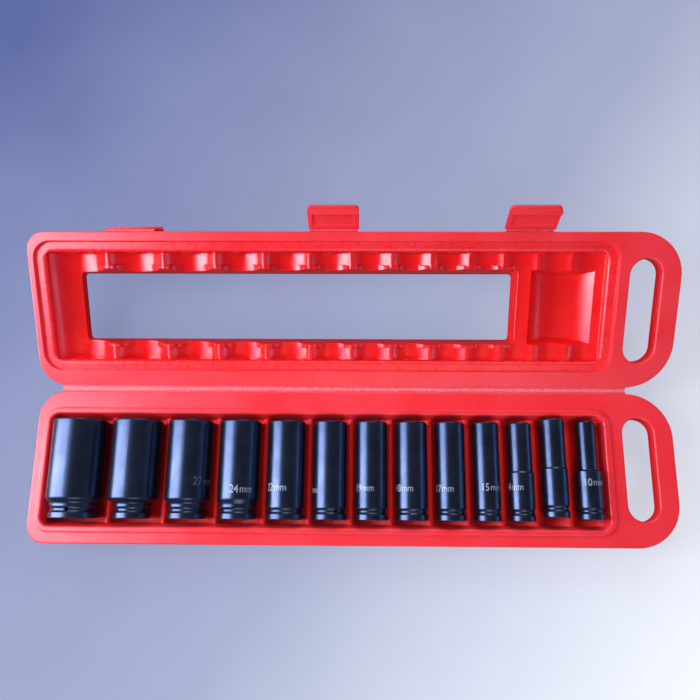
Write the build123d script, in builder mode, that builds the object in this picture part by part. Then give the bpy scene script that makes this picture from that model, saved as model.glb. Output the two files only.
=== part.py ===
"""Open carrying case with a set of thirteen deep impact sockets, in millimetres.

The case is a blow-moulded pair of halves, a base and a lid, that swing on one thin hinge
web along their back edges.  Each half has a tray with one half-round pocket per socket and
its own half of the carrying loop.  Three snap latches hang on webs at the lid's front edge.
The origin is the centre of the base's underside, +X runs towards the carrying loop, the
front is -Y, the hinge lies at +Y, and the lid stands open.
"""
import os
from math import cos, radians, sin, tan

from build123d import *

# Sockets: the size across the flats, the radius of the nose, the radius of the drive end,
# how far the socket is pushed back in its pocket, and its turn about its own axis.
socket_table = [
    (32.0, 22.5, 19.5, 0.0, 9.0),
    (30.0, 20.75, 15.0, 0.0, 95.0),
    (27.0, 19.0, 15.8, 0.0, 88.0),
    (24.0, 17.5, 15.8, 0.0, 97.0),
    (22.0, 16.1, 16.1, 0.0, 92.0),
    (21.0, 14.6, 14.6, 0.0, 28.0),
    (19.0, 13.9, 13.9, 0.0, 86.0),
    (18.0, 13.65, 13.65, 0.0, 94.0),
    (17.0, 12.8, 12.8, 0.0, 90.0),
    (15.0, 11.3, 11.3, 0.0, 84.0),
    (14.0, 10.2, 11.0, 0.0, 49.0),
    (13.0, 10.2, 11.0, 3.6, 87.0),
    (10.0, 8.0, 11.0, 1.8, 93.0),
]
socket_length = 83.0
hex_depth = 30.0
square_drive = 12.7
drive_depth = 17.0
drive_corner = 0.6
pin_hole_radius = 1.5
nose_edge = 1.5
end_ring = 4.6
groove_width = 5.4
groove_depth = 1.3
neck_ring = 1.5
shoulder_place = 17.5
step_place = 40.0
step_slope = 1.5
drive_chamfer = 0.6
bore_margin = 0.5

# Row of pockets: wide shallow arcs that meet in narrow rounded crests.  The sockets lie a
# little more than half in the base, so that they stay in it while the lid swings over them.
axis_drop = 1.5
socket_gap = 6.7
end_gap = 4.0
pocket_clearance = 0.5
pocket_play = 4.0
crest_depth = 8.0
crest_width = 3.0
crest_radius = 2.0
tray_taper = 15.0
tray_slope = 2.2
tray_corner = 8.0

# Rims and walls of one half, seen from above
left_rim = 12.0
back_rim = 20.6
front_rim = 15.0
base_height = 30.0
lid_height = 29.6
closing_gap = 0.3
wall_draft = 3.0
front_left_radius = 16.0
back_left_radius = 23.0
front_right_radius = 37.5
back_right_radius = 39.0
tub_corner = 12.0
tub_edge = 4.0
rim_edge = 1.0
edge_reach = 0.01

# Groove round the outer face of each half
border_inset = 13.0
border_width = 3.0
border_depth = 1.2
border_radius = 12.0

# Tongue on the base's rim and the rebate in the lid that takes it
bead_width = 5.5
bead_height = 2.0
bead_edge = 1.0
bead_inner_edge = 2.0
bead_clearance = 1.8
rebate_depth = 3.5
rebate_slope = 12.0
ledge_edge = 2.5

# Carrying loop
loop_thickness = 12.0
loop_edge = 3.5
handle_land = 11.1
tub_land = 6.9
slot_width = 26.6
slot_length = 87.6
slot_edge = 1.5
grip_width = 16.2

# Window in the lid, with a collar round it, and the blank trough beside it.  The window is
# given from the left end and from the hinge: left, right, near side and far side.
window_inside = (33.0, 416.3, 38.3, 103.4)
window_outside = (34.5, 414.6, 41.2, 98.9)
window_corner = 3.0
window_reach = 1.0
collar_width = 2.4
collar_depth = 8.4
collar_draft = 8.0
collar_edge = 0.8
notch_clearance = 0.9
trough_length = 67.0
trough_centre = 454.5
trough_radius = 38.0
trough_floor = 22.0
trough_draft = 20.0
trough_edge = 3.0

# Hinge web between the halves
web_width = 5.0
web_thickness = 0.8
web_from_left = 18.0
web_length = 495.0
open_angle = 156.75

# Latches
latch_width = 42.0
latch_length = 24.5
latch_thickness = 2.4
latch_root = 1.6
latch_corner = 4.0
latch_gap = 0.4
latch_axis_depth = 5.0
latch_places = {"left": 87.2, "middle": 258.9, "right": 422.0}
latch_angles = {"left": 180.0, "middle": 43.5, "right": 43.5}
latch_panel_depth = 0.7
latch_panel_margin = 4.0
hook_place = 18.5
hook_height = 2.6
hook_land = 1.0
hook_slope = 2.0
catch_depth = 3.4
catch_clearance = 0.5
catch_side_clearance = 2.0
web_end_gap = 0.2

# Sizes that follow from the ones above
drive_radii = [max(nose, drive) for size, nose, drive, pushed, turn in socket_table]
row_length = 2 * sum(drive_radii) + socket_gap * (len(drive_radii) - 1)
mouth_length = row_length + 2 * end_gap
tub_length = left_rim + mouth_length + bead_width + tub_land
case_length = left_rim + mouth_length + bead_width + handle_land + slot_width + grip_width
pocket_length = socket_length + 2 * pocket_play
mouth_width = pocket_length + 2 * tray_slope
half_depth = back_rim + mouth_width + front_rim
back_edge = web_width / 2
front_edge = back_edge + half_depth
mouth_back = back_edge + back_rim
mouth_front = mouth_back + mouth_width
row_centre = (mouth_back + mouth_front) / 2
left_end = -case_length / 2
mouth_left = left_end + left_rim
mouth_right = mouth_left + mouth_length
tub_right = left_end + tub_length
slot_centre = case_length / 2 - grip_width - slot_width / 2
hinge_y = half_depth / 2 + back_edge
hinge_point = (0, hinge_y, base_height)
catch_top = hook_place - latch_axis_depth - catch_clearance
trough_x = left_end + trough_centre
latch_axis_y = front_edge + latch_gap + latch_thickness / 2
rest_nose = row_centre - socket_length / 2
axis_height = base_height - axis_drop


def pocket_centres():
    """X of each socket's axis, from the left wall of the tray to the right."""
    centres = []
    side = mouth_left + end_gap
    for radius in drive_radii:
        centres.append(side + radius)
        side += 2 * radius + socket_gap
    return centres


# Both halves are drawn on a plane through the hinge line.  Its z runs from the parting
# face into the half.  Its y runs to the front in the base and to the hinge in the lid.
base_frame = Plane(origin=hinge_point, x_dir=(1, 0, 0), z_dir=(0, 0, -1))
lid_frame = Plane(
    origin=hinge_point,
    x_dir=(1, 0, 0),
    z_dir=(0, sin(radians(open_angle)), cos(radians(open_angle))),
)


def plan(left, right, back, front, radii, way):
    """Rectangle with its own radius at each corner; way is +1 in the base, -1 in the lid."""
    corners = [(left, way * back), (right, way * back), (right, way * front), (left, way * front)]
    with BuildSketch(mode=Mode.PRIVATE) as outline:
        with BuildLine():
            FilletPolyline(*corners, radius=radii, close=True)
        make_face()
    return outline.sketch


def frame_axis(frame):
    """The frame's z as an axis, to sort faces by their depth in the half."""
    return Axis(frame.origin, frame.z_dir)


def case_half(frame, way, height, face):
    """Outer form of one half: a drafted tub, and a thinner plate that is half the loop."""
    level = frame.offset(face)
    depth_axis = frame_axis(frame)
    outline_radii = [back_left_radius, back_right_radius, front_right_radius, front_left_radius]
    tub_radii = [back_left_radius, tub_corner, tub_corner, front_left_radius]
    with BuildPart(mode=Mode.PRIVATE) as loop:
        with BuildSketch(level):
            add(plan(left_end, case_length / 2, back_edge, front_edge, outline_radii, way))
        extrude(amount=loop_thickness, taper=wall_draft)
        fillet(loop.faces().sort_by(depth_axis)[-1].edges(), radius=loop_edge)
    with BuildPart(mode=Mode.PRIVATE) as half:
        with BuildSketch(level):
            add(plan(left_end, tub_right, back_edge, front_edge, tub_radii, way))
        extrude(amount=height, taper=wall_draft)
        fillet(half.faces().sort_by(depth_axis)[-1].edges(), radius=tub_edge)
        add(loop.part)
        with BuildSketch(level):
            with Locations((slot_centre, way * (back_edge + front_edge) / 2)):
                SlotOverall(slot_length, slot_width, rotation=90)
        extrude(amount=loop_thickness, mode=Mode.SUBTRACT)
        slot_region = half.edges().group_by(depth_axis)[0] + half.edges().filter_by_position(
            depth_axis, loop_thickness - edge_reach, loop_thickness + edge_reach
        )
        fillet(slot_edges(slot_region), radius=slot_edge)
        hinge_line = Vector(0, way * back_edge, 0)
        rim = half.faces().sort_by(depth_axis)[0].outer_wire().edges()
        free_rim = [
            edge for edge in rim
            if abs((frame.to_local_coords(edge @ 0.5) - hinge_line).Y) > edge_reach
        ]
        fillet(free_rim, radius=rim_edge)
    return half.part


def slot_edges(edges):
    """Of some edges, those that lie round the hand slot."""
    reach = slot_width / 2 + edge_reach
    return [edge for edge in edges if abs((edge @ 0.5).X - slot_centre) < reach]


def corrugation(drop):
    """Section of the pockets, deeper by drop: x along the row, y down from the parting face."""
    with BuildSketch(mode=Mode.PRIVATE) as section:
        with BuildLine():
            ends = []
            for centre, radius in zip(pocket_centres(), drive_radii):
                reach = radius + (socket_gap - crest_width) / 2
                left = (centre - reach, -crest_depth)
                right = (centre + reach, -crest_depth)
                if ends:
                    Line(ends[-1], left)
                ThreePointArc(left, (centre, -radius - pocket_clearance - drop), right)
                ends += [left, right]
            top = edge_reach - crest_depth / 2
            Polyline(ends[-1], (ends[-1][0], top), (ends[0][0], top), ends[0])
        make_face()
        crests = [v for v in section.vertices() if abs(v.Y + crest_depth) < edge_reach]
        fillet(inner_crests(crests), radius=crest_radius)
    return section.sketch


def inner_crests(vertices):
    """The corners between pockets, without the two at the ends of the row."""
    return ShapeList(vertices).sort_by(Axis.X)[1:-1]


def pocket_section(frame, way):
    """Plane across the middle of the pockets: x along the row, y up from the half."""
    origin = frame.from_local_coords(Vector(0, way * row_centre, 0))
    return Plane(origin=origin, x_dir=frame.x_dir, z_dir=frame.y_dir)


def pockets(frame, way, drop):
    """The row of pockets, cut the same from end to end."""
    with BuildPart(mode=Mode.PRIVATE) as row:
        with BuildSketch(pocket_section(frame, way)):
            add(corrugation(drop))
        extrude(amount=pocket_length / 2, both=True)
    return row.part


def mouth(frame, way, start):
    """The open space over the pockets, with sloped walls."""
    rise = -start * tan(radians(tray_taper))
    with BuildPart(mode=Mode.PRIVATE) as space:
        with BuildSketch(frame.offset(start)):
            radii = [tray_corner] * 4
            add(plan(mouth_left - rise, mouth_right + rise, mouth_back - rise,
                     mouth_front + rise, radii, way))
        extrude(amount=crest_depth - start, taper=tray_taper)
    return space.part


def border_groove(frame, way, height):
    """Shallow groove that runs round the outer face of a half."""
    with BuildPart(mode=Mode.PRIVATE) as groove:
        with BuildSketch(frame.offset(height - border_depth)):
            sides = ((border_inset, Mode.ADD), (border_inset + border_width, Mode.SUBTRACT))
            for inset, mode in sides:
                radii = [border_radius + border_inset - inset] * 4
                add(plan(left_end + inset, tub_right - inset, back_edge + inset,
                         front_edge - inset, radii, way), mode=mode)
        extrude(amount=2 * border_depth)
    return groove.part


def base_tray():
    """Lower half: tub, pockets, the raised tongue round the tray and the latch catches."""
    tongue = bead_width
    tongue_radii = [tray_corner + bead_width] * 4
    with BuildPart() as base:
        add(case_half(base_frame, 1, base_height, 0))
        with BuildSketch(base_frame):
            add(plan(mouth_left - tongue, mouth_right + tongue, mouth_back - tongue,
                     mouth_front + tongue, tongue_radii, 1))
        extrude(amount=-bead_height)
        fillet(base.faces().sort_by(Axis.Z)[-1].edges(), radius=bead_edge)
        for centre in latch_places.values():
            with BuildSketch(base_frame.offset(catch_top)):
                with Locations((left_end + centre, front_edge)):
                    Rectangle(latch_width + 2 * catch_side_clearance, 2 * catch_depth)
            extrude(amount=base_height, mode=Mode.SUBTRACT)
        add(mouth(base_frame, 1, -bead_height), mode=Mode.SUBTRACT)
        add(pockets(base_frame, 1, axis_drop), mode=Mode.SUBTRACT)
        fillet(base.faces().sort_by(Axis.Z)[-1].inner_wires()[0].edges(), radius=bead_inner_edge)
        add(border_groove(base_frame, 1, base_height), mode=Mode.SUBTRACT)
    return base


def collar():
    """Solid block that the window turns into a ring, notched where each socket passes."""
    left, right, near, far = window_inside
    margin = collar_width
    with BuildPart(mode=Mode.PRIVATE) as ring:
        with BuildSketch(lid_frame.offset(collar_depth)):
            add(plan(left_end + left - margin, left_end + right + margin, near - margin,
                     far + margin, [window_corner + margin] * 4, -1))
        extrude(amount=lid_height - collar_depth - collar_edge, taper=-collar_draft)
        fillet(ring.faces().sort_by(frame_axis(lid_frame))[0].edges(), radius=collar_edge)
        with BuildSketch(pocket_section(lid_frame, -1)):
            for centre, radius in zip(pocket_centres(), drive_radii):
                with Locations((centre, 0)):
                    Circle(radius + notch_clearance)
        extrude(amount=pocket_length / 2, both=True, mode=Mode.SUBTRACT)
    return ring.part


def window():
    """Opening through the lid, a little smaller on the outside than at the collar."""
    inside = collar_depth - window_reach
    outside = lid_height + closing_gap + window_reach
    with BuildPart(mode=Mode.PRIVATE) as opening:
        for depth, sides in ((inside, window_inside), (outside, window_outside)):
            with BuildSketch(lid_frame.offset(depth)):
                left, right, near, far = sides
                add(plan(left_end + left, left_end + right, near, far, [window_corner] * 4, -1))
        loft()
    return opening.part


def lid_shell():
    """Upper half: the same pockets, a rebate for the tongue, the window and a blank trough."""
    gap = bead_width + bead_clearance
    rebate_radii = [tray_corner + gap] * 4
    depth_axis = frame_axis(lid_frame)
    with BuildPart() as lid:
        add(case_half(lid_frame, -1, lid_height, closing_gap))
        with BuildSketch(lid_frame):
            add(plan(mouth_left - gap, mouth_right + gap, mouth_back - gap,
                     mouth_front + gap, rebate_radii, -1))
        extrude(amount=rebate_depth, taper=rebate_slope, mode=Mode.SUBTRACT)
        add(mouth(lid_frame, -1, 0), mode=Mode.SUBTRACT)
        add(pockets(lid_frame, -1, 0), mode=Mode.SUBTRACT)
        add(trough(), mode=Mode.SUBTRACT)
        add(collar())
        add(window(), mode=Mode.SUBTRACT)
        ledge = lid.faces().filter_by(depth_axis).filter_by_position(
            depth_axis, rebate_depth - edge_reach, rebate_depth + edge_reach
        )
        fillet(ledge[0].inner_wires()[0].edges(), radius=ledge_edge)
        add(border_groove(lid_frame, -1, lid_height + closing_gap), mode=Mode.SUBTRACT)
    return lid


def trough():
    """Wide concave trough beside the window, with rounded lips and sloped ends."""
    top = crest_depth / 2
    drop = trough_floor - crest_depth
    half_chord = (trough_radius**2 - (trough_radius - drop) ** 2) ** 0.5
    half_width = half_chord + top
    across = Plane(
        origin=lid_frame.from_local_coords(Vector(trough_x, -row_centre, 0)),
        x_dir=lid_frame.x_dir,
        z_dir=lid_frame.y_dir,
    )
    with BuildPart(mode=Mode.PRIVATE) as hollow:
        with BuildSketch(across) as section:
            with BuildLine():
                left_lip = (-half_chord, -crest_depth)
                right_lip = (half_chord, -crest_depth)
                ThreePointArc(left_lip, (0, -trough_floor), right_lip)
                Polyline(right_lip, (half_width, -crest_depth), (half_width, -top),
                         (-half_width, -top), (-half_width, -crest_depth), left_lip)
            make_face()
            lips = section.vertices().filter_by(lambda v: abs(abs(v.X) - half_chord) < edge_reach)
            fillet(lips, radius=trough_edge)
        extrude(amount=trough_length, both=True)
        with BuildSketch(lid_frame.offset(top)):
            with Locations((trough_x, -row_centre)):
                Rectangle(2 * half_width, trough_length)
        extrude(amount=trough_floor, taper=trough_draft, mode=Mode.INTERSECT)
    return hollow.part


def hinge_web():
    """Thin coined strip that joins the two back edges and bends when the lid moves."""
    with BuildPart() as web:
        with BuildSketch(Plane.YZ.offset(left_end + web_from_left)):
            base_end = (hinge_y - back_edge, base_height - web_thickness / 2)
            lid_end = lid_frame.from_local_coords(
                Vector(0, -(back_edge - web_end_gap), closing_gap + web_thickness / 2)
            )
            with BuildLine():
                Polyline(base_end, (hinge_y, base_end[1]), (lid_end.Y, lid_end.Z))
            trace(line_width=web_thickness)
        extrude(amount=web_length)
    return web


def latch_plane(side):
    """Plane on a latch's axis: x runs to the latch's tip and y to its inner face."""
    angle = radians(latch_angles[side])
    axis_point = Vector(left_end + latch_places[side], -latch_axis_y, latch_axis_depth)
    tip = lid_frame.y_dir * -sin(angle) + lid_frame.z_dir * -cos(angle)
    return Plane(origin=lid_frame.from_local_coords(axis_point), x_dir=tip, z_dir=lid_frame.x_dir)


def latch(side):
    """Snap latch: a flat flap with a hook near its tip and a shallow panel inside."""
    plane = latch_plane(side)
    half = latch_thickness / 2
    hook_top = half + hook_height
    with BuildPart() as flap:
        with BuildSketch(plane):
            with BuildLine():
                Polyline(
                    (latch_root, -half),
                    (latch_length, -half),
                    (latch_length, half),
                    (hook_place + hook_land + hook_slope, half),
                    (hook_place + hook_land, hook_top),
                    (hook_place, hook_top),
                    (hook_place, half),
                    (latch_root, half),
                    close=True,
                )
            make_face()
        extrude(amount=latch_width / 2, both=True)
        tip_edges = flap.edges().filter_by(Axis(plane.origin, plane.y_dir)).sort_by(
            Axis(plane.origin, plane.x_dir)
        )[-2:]
        fillet(tip_edges, radius=latch_corner)
        inner = Plane(origin=plane.origin + plane.y_dir * half, x_dir=plane.x_dir, z_dir=plane.y_dir)
        panel_start = latch_root + latch_panel_margin
        panel_length = hook_place - latch_panel_margin / 2 - panel_start
        with BuildSketch(inner):
            with Locations((panel_start + panel_length / 2, 0)):
                Rectangle(panel_length, latch_width - 2 * latch_panel_margin)
        extrude(amount=-latch_panel_depth, mode=Mode.SUBTRACT)
    return flap


def latch_web(side):
    """Thin strip from the lid's front wall round to the root of a latch."""
    plane = latch_plane(side)
    wall_depth = latch_axis_depth - closing_gap - web_thickness / 2
    wall_y = front_edge - wall_depth * tan(radians(wall_draft))
    wall = lid_frame.from_local_coords(
        Vector(left_end + latch_places[side], -wall_y, latch_axis_depth)
    )
    start = plane.to_local_coords(wall)
    with BuildPart() as web:
        with BuildSketch(plane):
            with BuildLine():
                Polyline((start.X, start.Y), (0, 0), (latch_root - web_end_gap, 0))
            trace(line_width=web_thickness)
        extrude(amount=latch_width / 2, both=True)
    return web


def socket_outline(nose_radius, drive_radius):
    """Draw a socket's half section, from its drive end to its nose: length, then radius."""
    groove_end = end_ring + groove_width
    Polyline((0, 0), (0, drive_radius - drive_chamfer), (drive_chamfer, drive_radius),
             (end_ring, drive_radius))
    ThreePointArc((end_ring, drive_radius), (end_ring + groove_width / 2, drive_radius - groove_depth),
                  (groove_end, drive_radius))
    side = (groove_end, drive_radius)
    if drive_radius < nose_radius:
        neck = (groove_end + neck_ring, drive_radius)
        shoulder = (shoulder_place, nose_radius)
        Line(side, neck)
        Spline(neck, shoulder, tangents=((1, 0), (1, 0)))
        side = shoulder
    if drive_radius > nose_radius:
        step_end = (step_place + step_slope, nose_radius)
        Polyline(side, (step_place, drive_radius), step_end)
        side = step_end
    nose_start = (socket_length - nose_edge, nose_radius)
    Line(side, nose_start)
    RadiusArc(nose_start, (socket_length, nose_radius - nose_edge), nose_edge)
    Polyline((socket_length, nose_radius - nose_edge), (socket_length, 0), (0, 0))


def socket(centre, size, nose_radius, drive_radius, pushed, turn):
    """Deep impact socket lying in its pocket, drive end to the front."""
    drive_y = hinge_y - rest_nose - socket_length + pushed
    drive_centre = (centre, drive_y, axis_height)
    with BuildPart() as body:
        with BuildSketch(Plane(origin=drive_centre, x_dir=(0, 1, 0), z_dir=(1, 0, 0))):
            with BuildLine():
                socket_outline(nose_radius, drive_radius)
            make_face()
        revolve(axis=Axis(drive_centre, (0, 1, 0)))
        up = Vector(sin(radians(turn)), 0, cos(radians(turn)))
        nose_centre = (centre, drive_y + socket_length, axis_height)
        nose = Plane(origin=nose_centre, x_dir=up, z_dir=(0, -1, 0))
        drive = Plane(origin=drive_centre, x_dir=up, z_dir=(0, 1, 0))
        with BuildSketch(nose):
            RegularPolygon(size / 2, 6, major_radius=False)
        extrude(amount=hex_depth, mode=Mode.SUBTRACT)
        with BuildSketch(nose):
            Circle(size / 2 - bore_margin)
        extrude(amount=socket_length - drive_depth, mode=Mode.SUBTRACT)
        with BuildSketch(drive):
            RectangleRounded(square_drive, square_drive, drive_corner)
        extrude(amount=drive_depth, mode=Mode.SUBTRACT)
        pin = Plane(origin=(centre, drive_y + end_ring + groove_width / 2, axis_height), z_dir=up)
        with BuildSketch(pin):
            Circle(pin_hole_radius)
        extrude(amount=drive_radius, both=True, mode=Mode.SUBTRACT)
    return body


def write(name, piece):
    """Label a finished piece and write it as one STEP file."""
    piece.part.label = name
    export_step(piece.part, f"parts/{name}.step")


os.makedirs("parts", exist_ok=True)
write("base_tray", base_tray())
write("lid_shell", lid_shell())
write("hinge_web", hinge_web())
for side in latch_places:
    write(f"latch_{side}", latch(side))
    write(f"latch_web_{side}", latch_web(side))
for centre, row in zip(pocket_centres(), socket_table):
    write(f"socket_{row[0]:.0f}mm", socket(centre, *row))
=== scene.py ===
"""Looks of an open blow-moulded carrying case with thirteen deep impact sockets, in metres.

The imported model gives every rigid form.  This script adds the plastic and the steel, the
two kinds of flexing web and the etched size marks, then the floor, the lamps and the camera.
"""
import math

import bmesh
import bpy
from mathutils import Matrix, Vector, noise


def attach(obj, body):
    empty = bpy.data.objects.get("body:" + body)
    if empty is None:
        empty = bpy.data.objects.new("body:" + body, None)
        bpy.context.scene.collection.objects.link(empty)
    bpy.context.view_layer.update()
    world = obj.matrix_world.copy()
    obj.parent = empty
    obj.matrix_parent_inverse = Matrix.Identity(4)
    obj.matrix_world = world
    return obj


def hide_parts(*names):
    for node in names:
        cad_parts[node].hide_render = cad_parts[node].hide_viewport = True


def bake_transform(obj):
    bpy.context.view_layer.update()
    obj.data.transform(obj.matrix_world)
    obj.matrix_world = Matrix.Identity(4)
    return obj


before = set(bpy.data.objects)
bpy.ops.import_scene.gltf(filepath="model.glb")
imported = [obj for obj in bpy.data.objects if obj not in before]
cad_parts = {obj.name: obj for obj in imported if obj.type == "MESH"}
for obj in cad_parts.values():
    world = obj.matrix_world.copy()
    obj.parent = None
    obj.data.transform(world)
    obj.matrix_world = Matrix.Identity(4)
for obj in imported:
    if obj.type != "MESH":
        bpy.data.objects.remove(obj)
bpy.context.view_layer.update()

MM = 0.001

# Places that the part's source gives, in metres
hinge_y = 0.0680
parting_height = 0.0300
open_angle = math.radians(156.75)
left_end = -0.2750
drive_end_y = -0.0443
axis_height = 0.0285

# The hinge's strip: how far in from the left end it starts, and its length
hinge_inset = 0.018
hinge_length = 0.495

# The latches' axis in the lid's own directions, from the hinge, and the length of their webs
latch_axis_front = 0.1351
latch_axis_down = 5.0 * MM
latch_web_length = 0.042

# Latches: side, place of the middle from the left end, angle at rest (180 is folded back)
latches = [
    ("left", 0.0872, 180.0),
    ("middle", 0.2589, 43.5),
    ("right", 0.4220, 43.5),
]

# The lid's own directions: towards the hinge, and from the parting face into the lid
hinge_point = Vector((0, hinge_y, parting_height))
lid_back = Vector((0, math.cos(open_angle), -math.sin(open_angle)))
lid_down = Vector((0, math.sin(open_angle), math.cos(open_angle)))

# The camera, fitted to the photograph
camera_place = Vector((0.008717, -0.036278, 0.510702))
camera_turn = (math.radians(11.123), math.radians(0.7265), math.radians(0.4475))
camera_lens = 28.8
camera_sensor = 36.0
camera_shift = (-0.00723, 0.07201)

# Sockets: size, x of the axis, radius under the mark, distance of the mark's middle from the
# drive end, turn of the mark about the axis (0 faces up, + to the right), height of digits
marks = [
    (32, -0.23650, 22.5, 30.0, 150, 8.6),
    (30, -0.18655, 20.75, 30.0, -140, 8.6),
    (27, -0.14010, 19.0, 30.8, 57, 9.6),
    (24, -0.09690, 17.5, 24.6, 18, 9.4),
    (22, -0.05660, 16.1, 26.3, -26, 9.4),
    (21, -0.01920, 14.6, 24.6, -76, 8.6),
    (19, 0.01600, 13.9, 26.3, -25, 8.6),
    (18, 0.05025, 13.65, 26.3, -33, 8.6),
    (17, 0.08340, 12.8, 26.3, -34, 8.6),
    (15, 0.11420, 11.3, 27.6, 12, 8.6),
    (14, 0.14320, 11.0, 28.1, -48, 8.6),
    (13, 0.17190, 11.0, 31.0, 170, 8.6),
    (10, 0.20060, 11.0, 32.3, 6, 8.6),
]

# The size whose mark is drawn darker than the others
dim_mark_size = 27

# Letters: half thickness of the metal, how deep its middle lies in the barrel, weight of the
# digits and of the unit, height of the unit as a share of the digits', the gap before it, and
# how much narrower the letters are than the typeface's
letter_half_thickness = 0.15 * MM
letter_sink = 0.11 * MM
digit_weight = 0.11 * MM
unit_weight = 0.03 * MM
unit_share = 0.92
unit_gap = 0.8 * MM
letter_squeeze = 0.84


# ---------------------------------------------------------------- materials

class Graph:
    """Small helper that adds and joins the nodes of one material."""

    def __init__(self, name):
        self.material = bpy.data.materials.new(name)
        self.material.use_nodes = True
        self.tree = self.material.node_tree
        self.shader = self.tree.nodes["Principled BSDF"]
        place = self.add("ShaderNodeTexCoord")
        self.place = place.outputs["Object"]

    def add(self, kind, links=None, **values):
        """A node with some sockets set to numbers and some joined to other outputs."""
        node = self.tree.nodes.new(kind)
        for name, value in values.items():
            if hasattr(node, name):
                setattr(node, name, value)
            else:
                node.inputs[name.replace("_", " ")].default_value = value
        for name, output in (links or {}).items():
            self.tree.links.new(output, node.inputs[name])
        return node

    def noise(self, scale, detail=2.0, roughness=0.5, place=None):
        """Noise of that many cells a metre."""
        node = self.add("ShaderNodeTexNoise", {"Vector": place or self.place},
                        Scale=scale, Detail=detail, Roughness=roughness)
        return node.outputs["Fac"]

    def ramp(self, value, low, high, out_low, out_high):
        """The value stretched from one range to another, and kept inside it."""
        node = self.add("ShaderNodeMapRange", {"Value": value})
        node.clamp = True
        for name, number in (("From Min", low), ("From Max", high),
                             ("To Min", out_low), ("To Max", out_high)):
            node.inputs[name].default_value = number
        return node.outputs["Result"]

    def mix(self, factor, first, second):
        """Colour mixed by a factor; each colour is three numbers or an output."""
        node = self.add("ShaderNodeMix", {"Factor": factor}, data_type="RGBA")
        for index, colour in ((6, first), (7, second)):
            if isinstance(colour, tuple):
                node.inputs[index].default_value = (*colour, 1)
            else:
                self.tree.links.new(colour, node.inputs[index])
        return node.outputs[2]

    def bump(self, height, distance, strength, normal=None):
        """Bump from a height, on top of another normal."""
        links = {"Height": height}
        if normal:
            links["Normal"] = normal
        node = self.add("ShaderNodeBump", links, Distance=distance, Strength=strength)
        return node.outputs["Normal"]

    def stretched(self, x, y, z):
        """The place, with each axis scaled."""
        node = self.add("ShaderNodeMapping", {"Vector": self.place})
        node.inputs["Scale"].default_value = (x, y, z)
        return node.outputs["Vector"]

    def to_shader(self, **outputs):
        """Join outputs to the shader's sockets."""
        for name, output in outputs.items():
            self.tree.links.new(output, self.shader.inputs[name.replace("_", " ")])

    def set_shader(self, **values):
        """Numbers and colours on the shader's own sockets."""
        for name, value in values.items():
            self.shader.inputs[name.replace("_", " ")].default_value = value


def case_plastic(name, down, polish):
    """Red moulded polyethylene, with painted light on the rims, which are drawn paler and pinker,
    and painted shade inside the half, which is drawn a darker, purer red.

    Down is the direction from the half's parting face into the half.  Polish is how much
    less rough the inside is than the rims; below 0 it is rougher.
    """
    # Between these depths below the parting face, the painted rim light fades into the painted
    # inside shade
    rim_depth, full_depth = 1.5 * MM, 7 * MM
    g = Graph(name)
    clouds = g.ramp(g.noise(26, 3), 0.35, 0.65, 0, 1)
    # Painted shade: the darker, purer red inside the half
    painted_shade_red = g.mix(clouds, (0.84, 0.003, 0.004), (0.90, 0.006, 0.007))
    # Painted light: the paler, pinker red of the rims
    pale = g.mix(clouds, (0.95, 0.022, 0.030), (0.97, 0.036, 0.048))
    offset = g.add("ShaderNodeVectorMath", {0: g.place}, operation="SUBTRACT")
    offset.inputs[1].default_value = hinge_point
    depth = g.add("ShaderNodeVectorMath", {0: offset.outputs[0]}, operation="DOT_PRODUCT")
    depth.inputs[1].default_value = down
    inside = g.ramp(depth.outputs["Value"], rim_depth, full_depth, 0, 1)
    # Painted rim light at the parting face, painted shade further in
    colour = g.mix(inside, pale, painted_shade_red)
    specks = g.ramp(g.noise(2400, 1), 0.68, 0.76, 0, 0.30)
    colour = g.mix(specks, colour, (0.98, 0.36, 0.40))
    scuffs = g.ramp(g.noise(800, 3, 0.6, g.stretched(1, 0.10, 0.4)), 0.68, 0.80, 0, 0.25)
    colour = g.mix(scuffs, colour, (0.97, 0.34, 0.38))
    uneven = g.ramp(g.noise(140, 3), 0.3, 0.7, 0.29, 0.39)
    smoother = g.ramp(inside, 0, 1, 0, polish)
    roughness = g.add("ShaderNodeMath", {0: uneven, 1: smoother}, operation="SUBTRACT").outputs[0]
    edge = g.add("ShaderNodeBevel", samples=4, Radius=1.0 * MM)
    normal = g.bump(g.noise(300, 2), 0.08 * MM, 0.3, edge.outputs["Normal"])
    normal = g.bump(g.noise(1800, 1), 0.02 * MM, 0.3, normal)
    g.to_shader(Base_Color=colour, Roughness=roughness, Normal=normal)
    g.set_shader(Subsurface_Weight=0.15, Subsurface_Scale=0.002,
                 Subsurface_Radius=(1.0, 0.2, 0.15), Specular_IOR_Level=0.45)
    return g.material


def web_plastic():
    """The same plastic pressed thin: rough, speckled pale, whitest along the fold."""
    g = Graph("web_plastic")
    across = g.add("ShaderNodeSeparateXYZ", {"Vector": g.add("ShaderNodeUVMap").outputs["UV"]})
    spread = g.noise(900, 3, 0.7, g.stretched(0.8, 1.5, 1.5))
    away = g.add("ShaderNodeMath", {0: across.outputs["Y"]}, operation="ABSOLUTE").outputs[0]
    fold = g.ramp(away, 0.0, 0.7, 0.14, -0.06)
    amount = g.add("ShaderNodeMath", {0: spread, 1: fold}, operation="ADD").outputs[0]
    colour = g.mix(g.ramp(amount, 0.46, 0.78, 0, 0.8), (0.90, 0.03, 0.04), (0.97, 0.34, 0.38))
    normal = g.bump(spread, 0.15 * MM, 0.5)
    g.to_shader(Base_Color=colour, Normal=normal)
    g.set_shader(Roughness=0.5, Subsurface_Weight=0.2, Subsurface_Scale=0.001)
    return g.material


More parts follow.
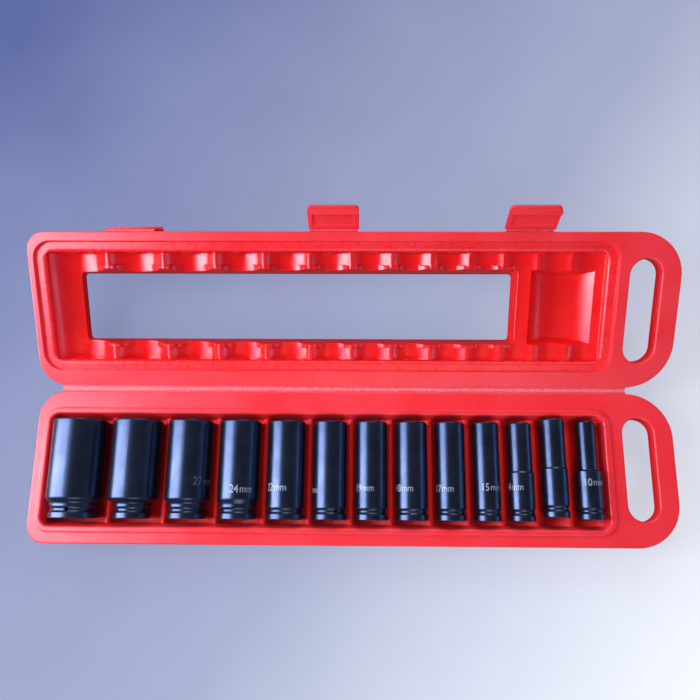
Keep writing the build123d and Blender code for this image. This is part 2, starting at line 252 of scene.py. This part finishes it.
def socket_steel():
    """Blued impact steel: satin, with faint turning rings, cloudy oxide and a few bright rubs."""
    g = Graph("socket_steel")
    clouds = g.noise(70, 2, 0.5)
    colour = g.mix(g.ramp(clouds, 0.35, 0.7, 0, 1), (0.034, 0.041, 0.072), (0.046, 0.055, 0.096))
    rubs = g.ramp(g.noise(1300, 3, 0.7), 0.73, 0.82, 0, 0.4)
    colour = g.mix(rubs, colour, (0.16, 0.20, 0.28))
    rings = g.noise(1, 2, 0.5, g.stretched(20, 3000, 20))
    roughness = g.ramp(g.noise(200, 2), 0.3, 0.7, 0.28, 0.33)
    edge = g.add("ShaderNodeBevel", samples=4, Radius=0.35 * MM)
    normal = g.bump(rings, 0.004 * MM, 0.3, edge.outputs["Normal"])
    g.to_shader(Base_Color=colour, Roughness=roughness, Normal=normal)
    g.set_shader(Metallic=0.9, Specular_IOR_Level=0.5)
    return g.material


def mark_metal(name, bare, worn):
    """Etched size mark: bare grey metal with a slightly broken edge."""
    g = Graph(name)
    wear = g.ramp(g.noise(1800, 3), 0.4, 0.7, 0, 1)
    colour = g.mix(wear, bare, worn)
    g.to_shader(Base_Color=colour)
    g.set_shader(Roughness=0.5, Metallic=0.3)
    return g.material


def floor_paint():
    """Pale matt floor that runs from a cool shade at the far left to white at the near right.

    Part of its colour is added for what the camera sees, which keeps the shadows soft.
    """
    g = Graph("floor_paint")
    slant = g.add("ShaderNodeMapping", {"Vector": g.place})
    slant.inputs["Rotation"].default_value = (0, 0, math.radians(35))
    across = g.add("ShaderNodeSeparateXYZ", {"Vector": slant.outputs["Vector"]}).outputs["X"]
    first, second = g.ramp(across, -0.56, 0.0, 0, 1), g.ramp(across, 0.0, 0.42, 0, 1)
    seen = g.mix(first, (0.127, 0.165, 0.423), (0.42, 0.45, 0.65))
    seen = g.mix(second, seen, (0.99, 0.98, 1.00))
    # The paint is far darker towards the far left, where the lamps light the floor most: painted
    # shade that cancels their spill
    paint = g.mix(first, (0.008, 0.010, 0.024), (0.070, 0.072, 0.090))
    paint = g.mix(second, paint, (0.36, 0.36, 0.36))
    paint = g.mix(g.ramp(g.noise(6, 2), 0.3, 0.7, 0, 0.03), paint, (0.9, 0.92, 0.96))
    camera_ray = g.add("ShaderNodeLightPath").outputs["Is Camera Ray"]
    share = g.add("ShaderNodeMath", {0: camera_ray}, operation="MULTIPLY")
    share.inputs[1].default_value = 0.75
    g.to_shader(Base_Color=paint, Emission_Color=seen, Emission_Strength=share.outputs[0])
    g.set_shader(Roughness=0.9, Specular_IOR_Level=0.1)
    return g.material


red_base = case_plastic("base_plastic", Vector((0, 0, -1)), -0.28)
red_lid = case_plastic("lid_plastic", lid_down, 0.12)
red_web = web_plastic()
steel = socket_steel()
etched = mark_metal("mark_metal", (0.36, 0.36, 0.40), (0.19, 0.19, 0.23))
# A darker copy of the mark metal, for one mark only
dim_etched = mark_metal("mark_dim", (0.11, 0.11, 0.13), (0.06, 0.06, 0.08))


# ---------------------------------------------------------------- helpers

def new_piece(name, points, faces, material):
    """A smooth-shaded mesh object from points and faces."""
    mesh = bpy.data.meshes.new(name)
    mesh.from_pydata([tuple(p) for p in points], [], faces)
    mesh.update()
    mesh.materials.append(material)
    for face in mesh.polygons:
        face.use_smooth = True
    piece = bpy.data.objects.new(name, mesh)
    bpy.context.scene.collection.objects.link(piece)
    return piece


def strip(name, centres, ups, left, length, columns, half_thickness, material):
    """Thin strip along X: its section follows centres, its ends are hollowed, its faces rough."""
    end_reach, end_hollow, roughness = 3 * MM, 1.2 * MM, 0.05 * MM
    rows = len(centres)
    points, places, faces = [], [], []
    for i in range(columns + 1):
        along = left + length * i / columns
        nearness = max(0.0, 1 - min(i, columns - i) * length / columns / end_reach)
        for side in (1, -1):
            for j, (centre, up) in enumerate(zip(centres, ups)):
                across = 2 * j / (rows - 1) - 1
                notch = end_hollow * nearness * (1 - across * across)
                x = along + (notch if i < columns / 2 else -notch)
                rough = roughness * noise.noise(Vector((x * 900, j * 0.9, side * 5)))
                thick = half_thickness[j] + rough
                points.append(Vector((x, 0, 0)) + centre + side * thick * up)
                places.append((along, across))
    ring = 2 * rows
    for i in range(columns):
        for j in range(ring):
            first = j if j < rows else ring - 1 - (j - rows)
            k = (j + 1) % ring
            second = k if k < rows else ring - 1 - (k - rows)
            a, b = i * ring + first, i * ring + second
            faces.append((b, a, a + ring, b + ring))
    for i, turned in ((0, False), (columns, True)):
        for j in range(rows - 1):
            a, b = i * ring + j, i * ring + j + 1
            face = (a, b, b + rows, a + rows)
            faces.append(face[::-1] if turned else face)
    piece = new_piece(name, points, faces, material)
    layer = piece.data.uv_layers.new(name="across")
    for loop in piece.data.loops:
        layer.data[loop.index].uv = places[loop.vertex_index]
    return piece


# ---------------------------------------------------------------- carried-over solids

for name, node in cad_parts.items():
    if name.startswith("socket"):
        material = steel
    else:
        material = red_base if name == "base_tray" else red_lid
    node.data.materials.clear()
    node.data.materials.append(material)


# ---------------------------------------------------------------- flexing webs

def hinge_strip():
    """The hinge: a strip pressed thin along the fold, with a soft rib on either side of it."""
    rows = 17
    reach, side, bend = 3.0 * MM, 1.6 * MM, 0.6 * MM
    base_sink, lid_sink = 0.50 * MM, 0.80 * MM
    half_thickness, rib_height, groove_depth = 0.34 * MM, 0.14 * MM, 0.14 * MM
    rib_place, rib_width, groove_width = 1.2 * MM, 0.5 * MM, 0.35 * MM
    centres, ups, thickness = [], [], []
    for j in range(rows):
        d = reach * (2 * j / (rows - 1) - 1)
        lift = (d + math.hypot(d, bend)) / 2
        share = min(1, max(0, 0.5 + 0.5 * d / side))
        ups.append(Vector((0, 0, 1)).lerp(-lid_down, share).normalized())
        sunk = Vector((0, 0, -base_sink)).lerp(lid_sink * lid_down, share)
        centres.append(hinge_point + Vector((0, d - lift, 0)) - lift * lid_back + sunk)
        groove = math.exp(-(d / groove_width) ** 2)
        ribs = math.exp(-((abs(d) - rib_place) / rib_width) ** 2)
        thickness.append(half_thickness + rib_height * ribs - groove_depth * groove)
    piece = strip("hinge_strip", centres, ups, left_end + hinge_inset, hinge_length, 420,
                  thickness, red_web)
    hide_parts("hinge_web")
    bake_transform(piece)


def latch_fold(side, place, angle):
    """The short web that a latch hangs on, from the lid's front wall round to its root."""
    rows, columns = 11, 60
    to_wall, to_root = 2.3 * MM, 2.2 * MM
    half_thickness, groove_depth, groove_rows = 0.40 * MM, 0.16 * MM, 1.6
    turn = math.radians(angle)
    tip = -math.sin(turn) * lid_back - math.cos(turn) * lid_down
    axis = hinge_point - latch_axis_front * lid_back + latch_axis_down * lid_down
    wall = axis + to_wall * lid_back
    root = axis + to_root * tip
    centres, ups, thickness = [], [], []
    for j in range(rows):
        t = j / (rows - 1)
        centres.append((1 - t) ** 2 * wall + 2 * t * (1 - t) * axis + t * t * root)
        forward = 2 * (1 - t) * (axis - wall) + 2 * t * (root - axis)
        ups.append(Vector((1, 0, 0)).cross(forward).normalized())
        groove = math.exp(-((j - rows // 2) / groove_rows) ** 2)
        thickness.append(half_thickness - groove_depth * groove)
    left = left_end + place - latch_web_length / 2
    piece = strip(f"latch_fold_{side}", centres, ups, left, latch_web_length, columns,
                  thickness, red_web)
    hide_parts(f"latch_web_{side}")
    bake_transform(piece)


hinge_strip()
for latch in latches:
    latch_fold(*latch)


# ---------------------------------------------------------------- size marks

def letters(words, height, align, weight):
    """Mesh of some words as a flat slab, starting or ending at x = 0."""
    curve = bpy.data.curves.new("words", type="FONT")
    curve.body = words
    curve.size = height
    curve.offset = weight
    curve.align_x = align
    curve.align_y = "CENTER"
    curve.extrude = letter_half_thickness
    flat = bpy.data.objects.new("flat", curve)
    mesh = bpy.data.meshes.new_from_object(flat)
    bpy.data.objects.remove(flat)
    return mesh


def size_mark(size, x, radius, along, turn, height):
    """The size in millimetres, etched round the barrel and read from the drive end.

    The letters are cut into narrow columns, so that they bend with the barrel.
    """
    made = bmesh.new()
    made.from_mesh(letters(str(size), height * MM, "RIGHT", digit_weight))
    digits = made.verts[:]
    made.from_mesh(letters("mm", unit_share * height * MM, "LEFT", unit_weight))
    for v in made.verts:
        if v not in digits:
            v.co.x += unit_gap
    left = min(v.co.x for v in made.verts)
    right = max(v.co.x for v in made.verts)
    step = 0.5 * MM
    for i in range(1, int((right - left) / step)):
        bmesh.ops.bisect_plane(made, geom=made.verts[:] + made.edges[:] + made.faces[:],
                               plane_co=(left + i * step, 0, 0), plane_no=(1, 0, 0), dist=1e-7)
    middle = (left + right) / 2
    centre = Vector((x, drive_end_y + along * MM, axis_height))
    for v in made.verts:
        angle = math.radians(turn) + letter_squeeze * (v.co.x - middle) / (radius * MM)
        out = radius * MM + v.co.z - letter_sink
        v.co = centre + Vector((out * math.sin(angle), v.co.y, out * math.cos(angle)))
    mesh = bpy.data.meshes.new(f"size_mark_{size}mm")
    made.to_mesh(mesh)
    made.free()
    mesh.materials.append(dim_etched if size == dim_mark_size else etched)
    piece = bpy.data.objects.new(f"size_mark_{size}mm", mesh)
    bpy.context.scene.collection.objects.link(piece)
    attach(piece, f"socket_{size}mm")


for row in marks:
    size_mark(*row)


# ---------------------------------------------------------------- stage, lamps and camera

floor_reach = 3
corners = [(-floor_reach, -floor_reach, 0), (floor_reach, -floor_reach, 0),
           (floor_reach, floor_reach, 0), (-floor_reach, floor_reach, 0)]
floor = new_piece("floor", corners, [(0, 1, 2, 3)], floor_paint())


def softbox(name, place, target, width, height, radiance, colour=(1, 1, 1)):
    """A rectangular lamp that faces a target; radiance 1 shows as white."""
    data = bpy.data.lights.new(name, type="AREA")
    data.shape = "RECTANGLE"
    data.size = width
    data.size_y = height
    data.energy = math.pi * width * height * radiance
    data.color = colour
    lamp = bpy.data.objects.new(name, data)
    lamp.location = place
    lamp.rotation_euler = (Vector(target) - Vector(place)).to_track_quat("-Z", "Y").to_euler()
    bpy.context.scene.collection.objects.link(lamp)


# The window and its pane are the blue glow and the white core of the sockets' highlight
softbox("window", (-0.82, 0.02, 0.54), (-0.08, 0.02, 0.03), 0.62, 0.90, 6.0, (0.42, 0.68, 1.0))
softbox("pane", (-0.85, 0.02, 0.46), (-0.08, 0.02, 0.03), 0.26, 0.90, 12.0, (0.92, 0.95, 1.0))
softbox("front", (0.25, -1.15, 1.15), (0.1, 0, 0), 1.1, 0.7, 3.6)
softbox("back", (0.25, 1.25, 1.05), (0.1, 0, 0), 1.1, 0.6, 4.4)
softbox("right", (0.95, 0.0, 0.20), (0, 0, 0.03), 0.5, 0.14, 4.0, (0.30, 0.60, 1.0))


def studio_world():
    """Dim light from all round, stronger and bluer near the horizon."""
    horizon, zenith = (0.34, 0.56, 1.0, 1), (0.16, 0.17, 0.19, 1)
    world = bpy.data.worlds.new("studio")
    world.use_nodes = True
    tree = world.node_tree
    place = tree.nodes.new("ShaderNodeTexCoord")
    split = tree.nodes.new("ShaderNodeSeparateXYZ")
    height = tree.nodes.new("ShaderNodeMapRange")
    blend = tree.nodes.new("ShaderNodeMix")
    blend.data_type = "RGBA"
    height.inputs["From Min"].default_value = 0.05
    height.inputs["From Max"].default_value = 0.75
    blend.inputs[6].default_value = horizon
    blend.inputs[7].default_value = zenith
    tree.links.new(place.outputs["Generated"], split.inputs["Vector"])
    tree.links.new(split.outputs["Z"], height.inputs["Value"])
    tree.links.new(height.outputs["Result"], blend.inputs["Factor"])
    background = tree.nodes["Background"]
    tree.links.new(blend.outputs[2], background.inputs["Color"])
    background.inputs["Strength"].default_value = 0.6
    bpy.context.scene.world = world


studio_world()

camera_data = bpy.data.cameras.new("camera")
camera_data.lens = camera_lens
camera_data.sensor_width = camera_sensor
camera_data.sensor_fit = "HORIZONTAL"
camera_data.shift_x, camera_data.shift_y = camera_shift
camera_data.clip_start = 0.01
camera = bpy.data.objects.new("camera", camera_data)
camera.location = camera_place
camera.rotation_euler = camera_turn
bpy.context.scene.collection.objects.link(camera)
bpy.context.scene.camera = camera
bpy.context.scene.view_settings.view_transform = "Standard"
